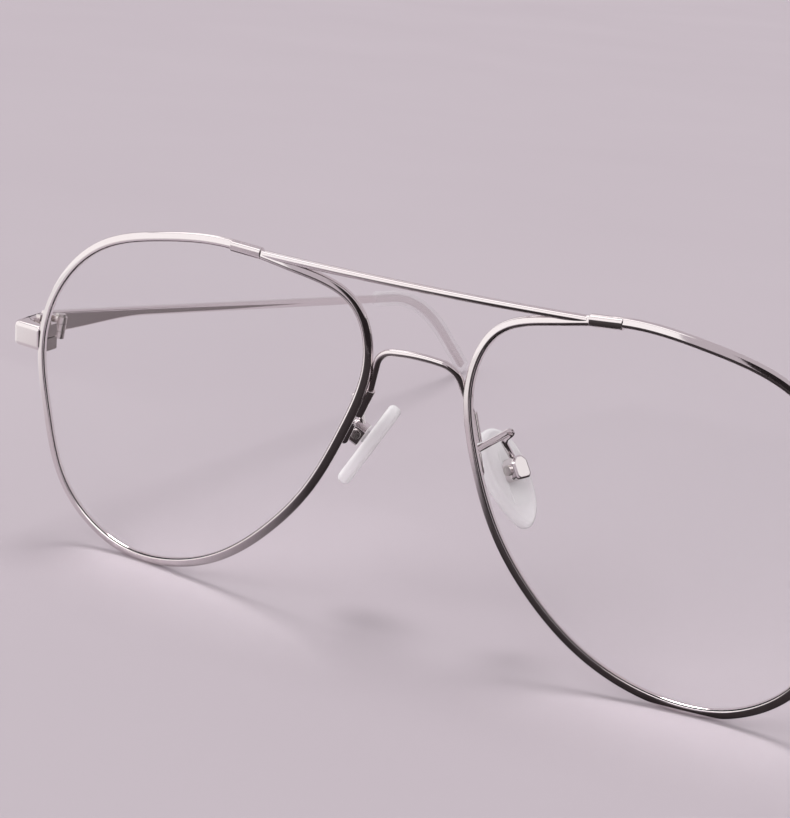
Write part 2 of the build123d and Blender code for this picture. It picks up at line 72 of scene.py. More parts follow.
print("lens box middle:", standing([(0, 0, 0)])[0].round(4))

# %% [markdown]
# The camera is a long lens a little above the glasses and to the wearer's left, turned a few degrees
# about its own axis. It was solved together with the outline of the rims, so the picture lines up
# with the solids. Only the frame's small offset needs a shift.

# %% Camera
camera_place = Vector((0.144365, -0.345238, 0.114714))
camera_azimuth = math.radians(28.129)
camera_elevation = math.radians(15.005)
camera_roll = math.radians(5.242)
camera_data = bpy.data.cameras.new("camera")
camera = bpy.data.objects.new("camera", camera_data)
scene.collection.objects.link(camera)
camera_data.sensor_fit = "HORIZONTAL"
camera_data.sensor_width = 36.0
camera_data.lens = 104.44
camera_data.shift_x = -0.0092
camera_data.shift_y = 0.0128
camera_data.clip_start = 0.01
camera_data.clip_end = 50.0
heading = Matrix.Rotation(camera_azimuth, 4, "Z")
tilt = Matrix.Rotation(math.pi / 2 - camera_elevation, 4, "X")
roll = Matrix.Rotation(camera_roll, 4, "Z")
camera.matrix_world = Matrix.Translation(camera_place) @ heading @ tilt @ roll
scene.camera = camera
print("camera right:", [round(v, 4) for v in camera.matrix_world.col[0][:3]])

# %% [markdown]
# Materials, the sky and the Geometry Nodes trees are all node trees, so one helper adds any node. It
# gives the node its settings first, because they decide which inputs it has. Then it fills each
# input: with a link where the value is another node's socket, and with the plain value otherwise.

# %% Adding a node
def add(tree, kind, inputs=None, **settings):
    """A node with its settings and its inputs, each linked or set to a value."""
    node = tree.nodes.new(kind)
    for name, value in settings.items():
        setattr(node, name, value)
    for name, value in (inputs or {}).items():
        if isinstance(value, bpy.types.NodeSocket):
            tree.links.new(value, node.inputs[name])
        else:
            node.inputs[name].default_value = value
    return node


print("node helper:", add.__name__)

# %% [markdown]
# No real surface is quite even. Every finish has a colour that drifts between two tones with a broad
# noise pattern, and a roughness and a slight relief that follow a finer one, the grain. The patterns
# read the place on the piece itself, so they stay where they are when the piece moves. What is the
# same all over is set on the shader's own sockets.

# %% A finish that is never quite even
def new_material(name, fixed):
    """A material with a shader that has its fixed values, and an output."""
    material = bpy.data.materials.new(name)
    material.use_nodes = True
    material.node_tree.nodes.clear()
    shader = add(material.node_tree, "ShaderNodeBsdfPrincipled", fixed)
    add(material.node_tree, "ShaderNodeOutputMaterial", {"Surface": shader.outputs[0]})
    return material, shader


def surface(name, first, second, roughness, spread, relief, drift, grain, fixed):
    """A finish whose tone drifts and whose roughness and relief follow a grain.

    Drift and grain are noise patterns, each given by its scale and its detail.
    """
    material, shader = new_material(name, fixed)
    tree = material.node_tree
    place = add(tree, "ShaderNodeTexCoord").outputs["Object"]
    broad, fine = (
        add(tree, "ShaderNodeTexNoise", {"Vector": place, "Scale": scale, "Detail": detail}).outputs["Fac"]
        for scale, detail in (drift, grain)
    )
    tones = {"Factor": broad, "A": (*first, 1), "B": (*second, 1)}
    tone = add(tree, "ShaderNodeMix", tones, data_type="RGBA")
    between = {"Value": fine, "To Min": roughness, "To Max": roughness + spread}
    rough = add(tree, "ShaderNodeMapRange", between)
    bump = add(tree, "ShaderNodeBump", {"Height": fine, "Strength": relief, "Distance": 0.01 * mm})
    tree.links.new(tone.outputs["Result"], shader.inputs["Base Color"])
    tree.links.new(rough.outputs["Result"], shader.inputs["Roughness"])
    tree.links.new(bump.outputs["Normal"], shader.inputs["Normal"])
    return material, shader


print("finish builder:", surface.__name__)

# %% [markdown]
# Polished metal is a mirror, so its look comes mostly from what stands round it. What makes it real
# is small: a fine relief left by the polishing wheel, a little unevenness in the roughness, and a
# tone that drifts between cool and warm. One builder makes every metal from a few numbers.

# %% Metal finishes
def metal(name, cool, warm, roughness, spread, relief):
    """Polished metal whose tone, roughness and fine relief vary over the surface."""
    return surface(name, cool, warm, roughness, spread, relief, (90, 3), (2200, 5), {"Metallic": 1.0})[0]


wire_metal = metal("polished_wire", (0.82, 0.79, 0.80), (0.80, 0.735, 0.73), 0.04, 0.06, 0.10)
solder_metal = metal("soldered_joints", (0.78, 0.76, 0.76), (0.76, 0.69, 0.67), 0.10, 0.10, 0.20)
screw_metal = metal("turned_screws", (0.66, 0.64, 0.63), (0.62, 0.58, 0.55), 0.16, 0.12, 0.25)
print("metals:", wire_metal.name, solder_metal.name, screw_metal.name)

# %% [markdown]
# The lenses are hard, thin, polished on both faces and almost invisible. They are the one piece that
# is made of real glass in the shader, with light passing through. A low refraction keeps so thin a
# shell from bending the rim behind it.

# %% Lens glass
lens_glass = surface(
    "lens_glass", (1.0, 1.0, 1.0), (0.985, 0.99, 0.99), 0.0, 0.002, 0.004, (60, 2), (300, 3),
    {"Transmission Weight": 1.0, "IOR": 1.1},
)[0]
print("clear:", lens_glass.name)

# %% [markdown]
# The temple tips, the nose pads and the plates in the pads scatter light inside, so they look milky,
# and most of all where a thick edge turns away. Glass in the shader would show only dark bent lines
# there. Instead the surface is a white film: Layer Weight tells how far it turns from the eye, and
# the film is thin face on and dense at the edge.

# %% Milky plastic and silicone
def milky(name, tint, shade, roughness, spread, relief, grain, face_on, edge_on):
    """A clear soft piece that scatters more light where its surface turns away, as a thick edge does."""
    material, shader = surface(name, tint, shade, roughness, spread, relief, (60, 2), (grain, 3), {})
    tree = material.node_tree
    turn = add(tree, "ShaderNodeLayerWeight", {"Blend": 0.4}).outputs["Facing"]
    film = add(tree, "ShaderNodeMapRange", {"Value": turn, "To Min": face_on, "To Max": edge_on})
    tree.links.new(film.outputs["Result"], shader.inputs["Alpha"])
    return material


tip_plastic = milky(
    "tip_plastic", (0.95, 0.94, 0.95), (0.90, 0.89, 0.91),
    roughness=0.08, spread=0.10, relief=0.06, grain=500, face_on=0.05, edge_on=0.35)
pad_silicone = milky(
    "pad_silicone", (1.0, 0.99, 0.99), (0.97, 0.96, 0.97),
    roughness=0.16, spread=0.14, relief=0.25, grain=900, face_on=0.36, edge_on=1.0)
core_plastic = milky(
    "core_plastic", (1.0, 0.99, 0.99), (0.94, 0.93, 0.94),
    roughness=0.10, spread=0.10, relief=0.15, grain=900, face_on=0.40, edge_on=0.90)
print("milky:", tip_plastic.name, pad_silicone.name, core_plastic.name)

# %% [markdown]
# Most of these glasses is wire that follows a path: rims, bars, posts, arms. One Geometry Nodes tree
# sweeps a rounded section along any such path. The path's points carry two attributes: which way the
# section's height points, and how thick the wire is there.

# %% The tree that draws wire along a path
def new_tree(name, start, sizes, result):
    """A tree with named inputs for what it grows on, its sizes and its finish."""
    tree = bpy.data.node_groups.new(name, "GeometryNodeTree")
    tree.interface.new_socket(start, in_out="INPUT", socket_type="NodeSocketGeometry")
    for size, value in sizes.items():
        socket = tree.interface.new_socket(size, in_out="INPUT", socket_type="NodeSocketFloat")
        socket.default_value = value
    tree.interface.new_socket("Finish", in_out="INPUT", socket_type="NodeSocketMaterial")
    tree.interface.new_socket(result, in_out="OUTPUT", socket_type="NodeSocketGeometry")
    return tree, add(tree, "NodeGroupInput").outputs


def read_attribute(tree, name, kind="FLOAT_VECTOR"):
    """A value stored on the path's points, by default a direction."""
    return add(tree, "GeometryNodeInputNamedAttribute", {"Name": name}, data_type=kind).outputs["Attribute"]


def end_tree(tree, given, shape):
    """The tree's last nodes: instances made real, the finish set and the result handed out."""
    real = add(tree, "GeometryNodeRealizeInstances", {"Geometry": shape}).outputs["Geometry"]
    dressed = add(tree, "GeometryNodeSetMaterial", {"Geometry": real, "Material": given["Finish"]})
    add(tree, "NodeGroupOutput", {0: dressed.outputs["Geometry"]})
    return tree


def build_wire_tree():
    """Path, width, height and rounding in; a swept wire of rounded section out."""
    sizes = {"Width": 1 * mm, "Height": 1 * mm, "Rounding": 0.5 * mm}
    tree, given = new_tree("wire_along_a_path", "Path", sizes, "Wire")
    curve = add(tree, "GeometryNodeMeshToCurve", {"Mesh": given["Path"]}).outputs["Curve"]
    facing = add(tree, "GeometryNodeSetCurveNormal",
                 {"Curve": curve, "Normal": read_attribute(tree, "side")}, mode="FREE")
    rectangle = add(tree, "GeometryNodeCurvePrimitiveQuadrilateral",
                    {"Width": given["Width"], "Height": given["Height"]})
    section = add(tree, "GeometryNodeFilletCurve", {
        "Curve": rectangle.outputs["Curve"], "Count": 7, "Radius": given["Rounding"],
    }, mode="POLY")
    sweep = add(tree, "GeometryNodeCurveToMesh", {
        "Curve": facing.outputs["Curve"], "Profile Curve": section.outputs["Curve"],
        "Scale": read_attribute(tree, "thick", "FLOAT"), "Fill Caps": True,
    })
    smooth = add(tree, "GeometryNodeSetShadeSmooth", {"Geometry": sweep.outputs["Mesh"]})
    return end_tree(tree, given, smooth.outputs["Geometry"])


wire_tree = build_wire_tree()
print("wire tree nodes:", len(wire_tree.nodes))

# %% [markdown]
# A tree needs something to grow on: here a mesh of points, joined by edges, that carries the
# attributes. The tree is run once and its result is kept as a plain mesh. Edges that turn by more
# than the crease angle stay sharp in the shading.

# %% From a path to a mesh
crease_angle = 40


def grow(name, tree, mesh, sizes):
    """Runs a tree on a mesh of points and keeps the result as a plain mesh."""
    carrier = bpy.data.objects.new(name, mesh)
    scene.collection.objects.link(carrier)
    modifier = carrier.modifiers.new("grow", "NODES")
    modifier.node_group = tree
    for item in tree.interface.items_tree:
        if item.in_out == "INPUT" and item.name in sizes:
            modifier[item.identifier] = sizes[item.name]
    graph = bpy.context.evaluated_depsgraph_get()
    result = bpy.data.meshes.new_from_object(carrier.evaluated_get(graph), depsgraph=graph)
    bpy.data.objects.remove(carrier)
    result.set_sharp_from_angle(angle=math.radians(crease_angle))
    return result


def store_directions(mesh, name, directions):
    """Directions of the drawing, one for each point, as an attribute that a tree can read."""
    turned = np.broadcast_to(directions, (len(mesh.vertices), 3)) @ turn_x(stand_angle).T
    stored = mesh.attributes.new(name, "FLOAT_VECTOR", "POINT")
    stored.data.foreach_set("vector", np.ascontiguousarray(turned, np.float32).ravel())


def path_mesh(points, sides, thick=None, closed=False):
    """A chain of points on the table that carries the section's direction and thickness."""
    count = len(points)
    mesh = bpy.data.meshes.new("path")
    edges = [(i, i + 1) for i in range(count - 1)] + ([(count - 1, 0)] if closed else [])
    mesh.from_pydata([tuple(p) for p in standing(points)], edges, [])
    store_directions(mesh, "side", sides)
    scale = mesh.attributes.new("thick", "FLOAT", "POINT")
    scale.data.foreach_set("value", np.ones(count) if thick is None else np.array(thick, float))
    return mesh


def wire(name, points, width, height, rounding, sides=(0, 1, 0), **more):
    """A swept wire, in millimetres of the drawing, as a mesh on the table."""
    sizes = {"Width": width * mm, "Height": height * mm, "Rounding": rounding * mm, "Finish": wire_metal}
    return grow(name, wire_tree, path_mesh(points, sides, **more), sizes)


def round_wire(name, points, diameter, **more):
    """A swept wire of round section."""
    return wire(name, points, diameter, diameter, diameter / 2, **more)


print("crease angle:", crease_angle)

# %% [markdown]
# A piece is built once, for the wearer's left side, and mirrored for the right. Mirroring turns a
# mesh inside out, so its faces are turned back. Each finished piece then takes the place of its
# solid and moves with the same body. Where a piece has sharp edges, a Bevel modifier rounds them.

# %% From a mesh to a piece
def joined(meshes, mirrored=False):
    """Meshes as one, and mirrored for the wearer's right side if asked, with faces still outwards."""
    build = bmesh.new()
    for mesh in meshes:
        build.from_mesh(mesh)
    if mirrored:
        bmesh.ops.scale(build, vec=(-1, 1, 1), verts=build.verts)
        bmesh.ops.reverse_faces(build, faces=build.faces)
    whole = bpy.data.meshes.new("joined")
    build.to_mesh(whole)
    build.free()
    for material in meshes[0].materials:
        whole.materials.append(material)
    return whole


def fit(mesh, node, body):
    """The mesh as a piece that stands for a solid and rides on its body."""
    done = bpy.data.objects.new(node + "_piece", mesh)
    scene.collection.objects.link(done)
    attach(done, body)
    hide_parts(node)
    return done


def fit_pair(mesh, node, body):
    """A piece and its mirror image, for the nodes and bodies named _left and _right."""
    left = fit(mesh, node + "_left", body)
    mirrored = joined([mesh], mirrored=True)
    right = fit(mirrored, node + "_right", body.replace("left", "right"))
    return left, right


def bevel(pieces, width, segments=3, angle=35, clamp=True):
    """Rounded edges, as a tumbling barrel leaves them."""
    for piece in pieces:
        edge = piece.modifiers.new("rounded_edges", "BEVEL")
        edge.width = width * mm
        edge.segments = segments
        edge.limit_method = "ANGLE"
        edge.angle_limit = math.radians(angle)
        edge.harden_normals = True
        edge.use_clamp_overlap = clamp


# %% [markdown]
# Rims and pads have smooth closed outlines, drawn through a few points. The curve is a cubic spline:
# its slope and its bend are the same on both sides of every point, which gives one small set of
# equations. The points' uneven spacing is counted in, so the curve doesn't swing out.

# %% A smooth closed curve
def closed_curve(points, count):
    """Points along the smooth closed curve through a few given ones."""
    points = np.array(points, float)
    size = len(points)
    chord = np.linalg.norm(np.roll(points, -1, 0) - points, axis=1)
    slope = (np.roll(points, -1, 0) - points) / chord[:, None]
    system = np.zeros((size, size))
    known = np.zeros_like(points)
    for i in range(size):
        before, after = chord[i - 1], chord[i]
        system[i, i - 1] += after
        system[i, i] += 2 * (before + after)
        system[i, (i + 1) % size] += before
        known[i] = 3 * (after * slope[i - 1] + before * slope[i])
    speed = np.linalg.solve(system, known)
    reached = np.concatenate([[0], np.cumsum(chord)])
    curve = []
    for place in np.linspace(0, reached[-1], count, endpoint=False):
        i = min(np.searchsorted(reached, place, "right") - 1, size - 1)
        j, t = (i + 1) % size, (place - reached[i]) / chord[i]
        start = (1 + 2 * t) * (1 - t) ** 2 * points[i] + t * (1 - t) ** 2 * chord[i] * speed[i]
        end = t * t * (3 - 2 * t) * points[j] + t * t * (t - 1) * chord[i] * speed[j]
        curve.append(start + end)
    return np.array(curve)


def left_of(line):
    """Unit directions to the left of a closed flat line, one at each of its points."""
    ahead = np.roll(line, -1, 0) - np.roll(line, 1, 0)
    return np.column_stack([-ahead[:, 1], ahead[:, 0]]) / np.linalg.norm(ahead, axis=1)[:, None]


ring = closed_curve([(1, 0), (0, 1), (-1, 0), (0, -1)], 40)
print("circle through four points, off by", round(np.ptp(np.linalg.norm(ring, axis=1)), 3))

# %% [markdown]
# The rim follows the edge of the lens, and both lie on one big sphere, as real rims are curved to the
# lens. The drop shape is a smooth closed curve through sixteen points, given as shares of half the
# width and half the height. Each point is then set back onto the sphere, and the section of the wire
# faces the centre of that sphere.

# %% Rims
lens_radius = 96.0
lens_middle = 36.4
sphere_centre = np.array([lens_middle, lens_radius, 0])
rim_width, rim_depth, rim_rounding = 1.2, 1.5, 0.5
rim_half = np.array([28.15, 25.65])
rim_shares = np.array([
    (1.01, 0.183), (0.935, 0.475), (0.625, 0.83), (0.24, 0.96),
    (-0.175, 1.0), (-0.56, 0.93), (-0.895, 0.785), (-1.0, 0.525),
    (-0.92, 0.095), (-0.74, -0.305), (-0.53, -0.58), (-0.2, -0.855),
    (0.15, -0.985), (0.505, -0.97), (0.855, -0.675), (0.96, -0.2465),
])


def on_sphere(flat, radius=lens_radius):
    """Points of the flat lens outline set back onto a sphere about the lens's centre of curvature."""
    flat = np.array(flat, float)
    back = lens_radius - np.sqrt(lens_radius**2 - (flat**2).sum(1))
    points = np.column_stack([lens_middle + flat[:, 0], back, flat[:, 1]])
    return sphere_centre + (points - sphere_centre) * radius / lens_radius


rim_line = closed_curve(rim_shares * rim_half, 320)
rim_path = on_sphere(rim_line)
to_centre = sphere_centre - rim_path
rim_mesh = wire("rim", rim_path, rim_width, rim_depth, rim_rounding, sides=to_centre, closed=True)
fit_pair(rim_mesh, "rim", "front")
print("rim faces:", len(rim_mesh.polygons), "height mm:", round(np.ptp(rim_path[:, 2]), 1))

# %% [markdown]
# A lens, a pad and a temple aren't wires, but each can be drawn as rings of points with a skin over
# them. The skin closes both ends, and its faces are turned to look outwards.

# %% A skin over rings
def stitch(rings):
    """A closed skin over rings of equally many points."""
    size = len(rings[0])
    points = np.concatenate(rings)
    faces = [tuple(reversed(range(size))), tuple(range(len(points) - size, len(points)))]
    for i in range(len(rings) - 1):
        for k in range(size):
            a, b = i * size + k, i * size + (k + 1) % size
            faces.append((a, b, b + size, a + size))
    mesh = bpy.data.meshes.new("skin")
    mesh.from_pydata([tuple(p) for p in points], [], faces)
    build = bmesh.new()
    build.from_mesh(mesh)
    bmesh.ops.recalc_face_normals(build, faces=build.faces)
    build.to_mesh(mesh)
    build.free()
    return mesh


def finished(mesh, material, angle=crease_angle):
    """Smooth shading with sharp creases, and the piece's material."""
    mesh.shade_smooth()
    mesh.set_sharp_from_angle(angle=math.radians(angle))
    mesh.materials.append(material)
    return mesh


print("skin helpers:", stitch.__name__, finished.__name__)

# %% [markdown]
# A lens is a thin curved shell of even thickness. Rings of points step inwards from the outline to
# the middle, once for the front and once for the back, and a narrow band joins the two at the edge.
# The rings stand closer together near the edge. The lenses cast no shadow, because clear glass lets
# nearly all of the light through.

# %% Lenses
lens_thickness = 0.9
lens_inset = 0.25
lens_rings = 14
ring_shares = [1 - (i / lens_rings) ** 1.5 for i in range(lens_rings)]
lens_line = rim_line + left_of(rim_line) * lens_inset
front_rings = [on_sphere(lens_line * s, lens_radius + lens_thickness / 2) for s in ring_shares]
back_rings = [on_sphere(lens_line * s, lens_radius - lens_thickness / 2) for s in ring_shares]
lens_skin = stitch([standing(r) for r in front_rings[::-1] + back_rings])
lens_mesh = finished(lens_skin, lens_glass)
for lens in fit_pair(lens_mesh, "lens", "front"):
    lens.visible_shadow = False
print("lens faces:", len(lens_mesh.polygons))

# %% [markdown]
# The brow bar is one straight round rod that dips a little in the middle. It runs from the top of one
# rim to the top of the other, so its ends are read from the rims' own line. Three points and the
# circle through them give its gentle bow.

# %% Brow bar
sleeve_inner_x, sleeve_outer_x = 25.4, 31.1
sleeve_rise = sleeve_sink = 0.15
bar_diameter, bar_dip, bar_setback = 1.2, 0.4, 4.0


def rim_top(x):
    """The rim's centre line above the lens at a distance from the nose."""
    upper = rim_line[rim_line[:, 1] > 0.5 * rim_half[1]]
    order = np.argsort(upper[:, 0])
    height = np.interp(x - lens_middle, upper[order, 0], upper[order, 1])
    return on_sphere([(x - lens_middle, height)])[0]


def arc_through(start, middle, end, count):
    """Points on the circle through three points."""
    start, middle, end = (np.array(p, float) for p in (start, middle, end))
    u, v = middle - start, end - start
    normal = np.cross(u, v)
    reach = (v @ v) * np.cross(normal, u) - (u @ u) * np.cross(normal, v)
    centre = start + reach / (2 * normal @ normal)
    axis = Vector(normal).normalized()
    first = Vector(start - centre)
    whole = first.angle(Vector(end - centre))
    turned = [Matrix.Rotation(whole * i / (count - 1), 3, axis) @ first for i in range(count)]
    return centre + np.array(turned)


sleeve_inner = rim_top(sleeve_inner_x) + (0, 0, sleeve_rise)
sleeve_outer = rim_top(sleeve_outer_x) - (0, 0, sleeve_sink)
bar_middle = (0, bar_setback, sleeve_inner[2] - bar_dip)
bar_path = arc_through(sleeve_inner * (-1, 1, 1), bar_middle, sleeve_inner, 61)
bar_mesh = round_wire("brow_bar", bar_path, bar_diameter)
fit(bar_mesh, "brow_bar", "front")
print("brow bar span mm:", round(float(np.ptp(bar_path[:, 0])), 1))

# %% [markdown]
# The bar ends in two sleeves, which clasp the tops of the rims. A sleeve is the same sweep with a
# wider section, kept a little short of its solid, and its end edges are rounded afterwards.

# %% Brow sleeves
sleeve_depth, sleeve_height, sleeve_rounding = 1.8, 1.5, 0.74
sleeve_short = (sleeve_outer - sleeve_inner) * 0.06
sleeve_path = np.linspace(sleeve_inner + sleeve_short, sleeve_outer - sleeve_short, 12)
sleeve_mesh = wire("sleeve", sleeve_path, sleeve_depth, sleeve_height, sleeve_rounding, sides=(0, 0, 1))
bevel(fit_pair(sleeve_mesh, "brow_sleeve", "front"), 0.15)
print("sleeve length mm:", round(float(np.linalg.norm(sleeve_path[-1] - sleeve_path[0])), 2))

# %% [markdown]
# The lower bridge is bent from thinner wire: a shallow crown, two tight corners, and two legs that
# stand in short posts behind the rims. The bends are true arcs, as a bending jig makes them.

# %% Lower bridge and its posts
bridge_corner, bridge_crown = np.array([6.1, 4.6, 14.25]), np.array([0, 4.4, 15.0])
bridge_diameter, bridge_radii = 1.1, [2.2, 3.5, 30.0, 3.5, 2.2]
post_top, post_bottom = np.array([8.2, 6.25, 7.9]), np.array([9.65, 5.6, 4.0])
post_diameter, post_socket = 1.7, 1.6


def unit(way):
    """A direction of length one."""
    return way / np.linalg.norm(way)


def bent(points, radii, steps=14):
    """A route of straight runs whose inner corners are arcs."""
    points = [np.array(p, float) for p in points]
    route = [points[0]]
    for before, corner, after, radius in zip(points, points[1:], points[2:], radii):
        a, b = unit(before - corner), unit(after - corner)
        half = math.acos(a @ b) / 2
        centre = corner + unit(a + b) * radius / math.sin(half)
        reach = radius / math.tan(half)
        first, last = corner + a * reach - centre, corner + b * reach - centre
        sweep = math.pi - 2 * half
        for t in np.linspace(0, sweep, steps):
            turned = (math.sin(sweep - t) * first + math.sin(t) * last) / math.sin(sweep)
            route.append(centre + turned)
    return np.array(route + [points[-1]])


leg = [post_top + unit(post_bottom - post_top) * post_socket, post_top, bridge_corner]
bridge_points = leg + [bridge_crown] + [p * (-1, 1, 1) for p in leg[::-1]]
bridge_path = bent(bridge_points, bridge_radii)
bridge_mesh = round_wire("bridge", bridge_path, bridge_diameter)
fit(bridge_mesh, "bridge", "front")
post_mesh = round_wire("post", np.linspace(post_top, post_bottom, 8), post_diameter)
bevel(fit_pair(post_mesh, "bridge_sleeve", "front"), 0.4)
print("bridge points:", len(bridge_path))

# %% [markdown]
# Each pad hangs on an arm: a foot soldered along the back of the rim, and a thin wire that loops back
# and down into the pad's box. The foot's ends are rounded by letting the wire grow thin there. The
# pad has axes of its own, out of its nose face, down its length and across it, and the arm ends in
# the box behind it.

# %% Pad arms
pad_middle = np.array([11.33, 12.44, -2.71])
pad_face = unit(np.array([-0.812, 0.262, -0.522]))
pad_down = np.array([0.501, -0.147, -0.853])
pad_down = unit(pad_down - pad_face * (pad_down @ pad_face))
pad_across = np.cross(pad_face, pad_down)
box_mouth, box_above_middle = 1.35, 0.8
box_width, box_length, box_depth = 2.9, 3.4, 2.5
foot_top, foot_bottom = np.array([10.0, 5.2, 3.1]), np.array([11.25, 4.7, -0.4])
foot_diameter, foot_rounding = 1.1, 0.16
arm_root, arm_apex, arm_drop = (10.05, 5.4, 3.2), (14.3, 12.2, 6.6), (11.6, 9.8, 3.8)
arm_diameter, arm_radii, arm_socket = 1.0, [0.65, 0.8], 0.3


def at_pad(depth, along, across=0.0):
    """A point behind the pad's middle plane, down its length and across it."""
    return pad_middle - pad_face * depth + pad_down * along + pad_across * across


foot_shares = np.array([0, 0.02, 0.06, 0.11, 0.16, 0.84, 0.89, 0.94, 0.98, 1])
from_end = np.minimum(foot_shares, 1 - foot_shares) / foot_rounding
foot_thick = np.sqrt(np.clip(1 - (1 - from_end) ** 2, 0.001, 1))
foot_path = foot_top + (foot_bottom - foot_top) * foot_shares[:, None]
foot_mesh = round_wire("foot", foot_path, foot_diameter, thick=foot_thick)
arm_end = at_pad(box_mouth + box_depth / 2, -box_above_middle - box_length / 2 + arm_socket)
arm_path = bent([arm_root, arm_apex, arm_drop, arm_end], arm_radii)
arm_mesh = round_wire("arm", arm_path, arm_diameter)
fit_pair(joined([foot_mesh, arm_mesh]), "pad_arm", "front")
print("arm ends at", standing([arm_end])[0].round(4))

# %% [markdown]
# The nose pad is moulded silicone over a small hard plate. Its outline is a rounded drop through ten points.
# Rings run over the rounded edge, dip a little just inside it and rise again to the middle of each face, so
# that light runs over it as over a soft, filled form.

# %% Nose pads
pad_shares = np.array([
    (-0.08, -0.97), (0.5, -0.8), (0.75, -0.32), (0.63, 0.18), (0.21, 0.7),
    (-0.42, 1.03), (-0.97, 0.81), (-1.25, 0.28), (-1.22, -0.22), (-0.78, -0.79),
])
pad_half_size, pad_shift = (7.5, 3.95), (-0.15, 0.85)
pad_outline = closed_curve(pad_shares[:, ::-1] * pad_half_size + pad_shift, 96)
pad_outwards = -left_of(pad_outline)
pad_half, pad_round, pad_dip = 1.0, 0.8, 0.15


def pad_ring(depth, inset):
    """The pad's outline, drawn in by a distance, at a height over its middle plane."""
    return np.array([at_pad(-depth, along, side) for along, side in pad_outline + pad_outwards * inset])


def shrunk(ring, share, lift):
    """A ring drawn in towards its middle and raised along the pad's face."""
    middle = ring.mean(0)
    return middle + (ring - middle) * share + pad_face * lift


def pad_half_rings(sign):
    """Rings from the middle plane over the rounded edge to the middle of one face."""
    rings = []
    for t in np.linspace(0, math.pi / 2, 9):
        depth = pad_half - pad_round + pad_round * math.sin(t)
        rings.append(pad_ring(sign * depth, pad_round * (1 - math.cos(t))))
    edge = rings[-1]
    for share in (0.85, 0.68, 0.5, 0.32, 0.14, 0.04):
        rings.append(shrunk(edge, share, -sign * pad_dip * share**2))
    return rings


pad_rings = pad_half_rings(-1)[::-1] + pad_half_rings(1)
pad_mesh = finished(stitch([standing(r) for r in pad_rings]), pad_silicone)
for pad in fit_pair(pad_mesh, "nose_pad", "pad_left_body"):
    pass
print("pad faces:", len(pad_mesh.polygons))

# %% [markdown]
# The hinge stands a little outside and behind the rim's split. It has a frame of its own, because the
# temple slopes down to the back and the pin leans inwards at its top. With that lean the folded
# temples cross one above the other.

# %% The hinge's own frame
split = rim_path[0]
hinge_place = split + (1.97, 6.57, 0.26)
temple_slope = math.radians(9.7)
hinge_lean = math.radians(3.5)
hinge_turn = turn_x(-temple_slope) @ np.array(Matrix.Rotation(-hinge_lean, 3, "Y"))


def at_hinge(points):
    """Points of the hinge's own frame, outwards, back along the temple and up, in the drawing."""
    return np.atleast_2d(np.array(points, float)) @ hinge_turn.T + hinge_place


print("hinge at", standing([hinge_place])[0].round(5))

# %% [markdown]
# The end piece is a solid lug soldered beside the rim. It runs outwards, turns a soft corner and ends
# square to the hinge. Its plan is drawn once for its lower face and once for its upper one, with the
# rear end laid against the sloping temple. A wide bevel gives the edges the light line that makes
# metal look solid.

# %% End pieces
lug_outer = hinge_place[0] + 4.1
lug_wall = lug_outer - 1.6
lug_front = split[1] - 0.8
lug_back = lug_front + 2.1
lug_half_height = 2.0
lug_sweep, lug_corner, lug_throat, temple_gap = 0.9, 1.3, 0.9, 0.1


def lug_plan(rear):
    """The lug from above: from the rim round the corner to the rear, and back along the inside."""
    corners = [(split[0], lug_front), (lug_outer, lug_front + lug_sweep), (lug_outer, rear)]
    inside = [
        (lug_wall, rear), (lug_wall, lug_back + lug_sweep + lug_throat),
        (lug_wall - lug_throat, lug_back + lug_sweep), (split[0], lug_back),
    ]
    return list(bent(corners, [lug_corner], 10)) + inside


def lug_ring(height):
    """The plan at a height, with its rear against the slope of the temple."""
    fall = (height - hinge_place[2]) * math.sin(temple_slope)
    rear = hinge_place[1] + (fall - temple_gap) / math.cos(temple_slope)
    return standing([(x, y, height) for x, y in lug_plan(rear)])


lug_skin = stitch([lug_ring(split[2] - lug_half_height), lug_ring(split[2] + lug_half_height)])
lug_mesh = finished(lug_skin, wire_metal, 30)
bevel(fit_pair(lug_mesh, "end_piece", "front"), 0.85, 6, clamp=False)
print("end piece reaches mm:", round(float(lug_outer), 2))

# %% [markdown]
# The temple is a flat blade at the hinge whose lower edge sweeps up to a slim bar. The bar runs
# straight, then bends down and a little inwards behind the ear. One section, a rectangle with
# rounded corners, is set at every station of the path, and a skin joins the stations.

# %% Temples
blade_top, blade_bottom, blade_offset = 1.75, -1.75, 3.3
bar_width, bar_height, bar_rounding = 1.2, 1.5, 0.35
taper_length, straight_length = 27.0, 113.0
ear_turn, ear_radius, ear_inward, ear_run = math.radians(40), 34.0, math.radians(13.5), 10.5
bar_middle_height = blade_top - bar_height / 2


def ear_station(distance):
    """The path's point and the section's two directions at a distance along the temple."""
    down = np.array([-math.sin(ear_inward), 0, -math.cos(ear_inward)])
    back = np.array([0, 1, 0])
    past = max(distance - straight_length, 0)
    angle = min(past / ear_radius, ear_turn)
    run = max(past - ear_radius * ear_turn, 0)
    heading = back * math.cos(angle) + down * math.sin(angle)
    knee = np.array([blade_offset, min(distance, straight_length), bar_middle_height])
    point = knee + ear_radius * (back * math.sin(angle) + down * (1 - math.cos(angle))) + heading * run
    turn = np.array(Matrix.Rotation(angle, 3, Vector(np.cross(back, down))))
    return point, turn @ np.array([1, 0, 0]), turn @ np.array([0, 0, 1])


def rounded_section(width, low, high, rounding, steps=5):
    """The corners of a rounded rectangle, across and up from the path."""
    section = []
    for number, (x, y) in enumerate([(1, 1), (-1, 1), (-1, -1), (1, -1)]):
        across, up = x * (width / 2 - rounding), (high - rounding) if y > 0 else (low + rounding)
        for t in np.linspace(0, math.pi / 2, steps):
            angle = number * math.pi / 2 + t
            section.append((across + rounding * math.cos(angle), up + rounding * math.sin(angle)))
    return section


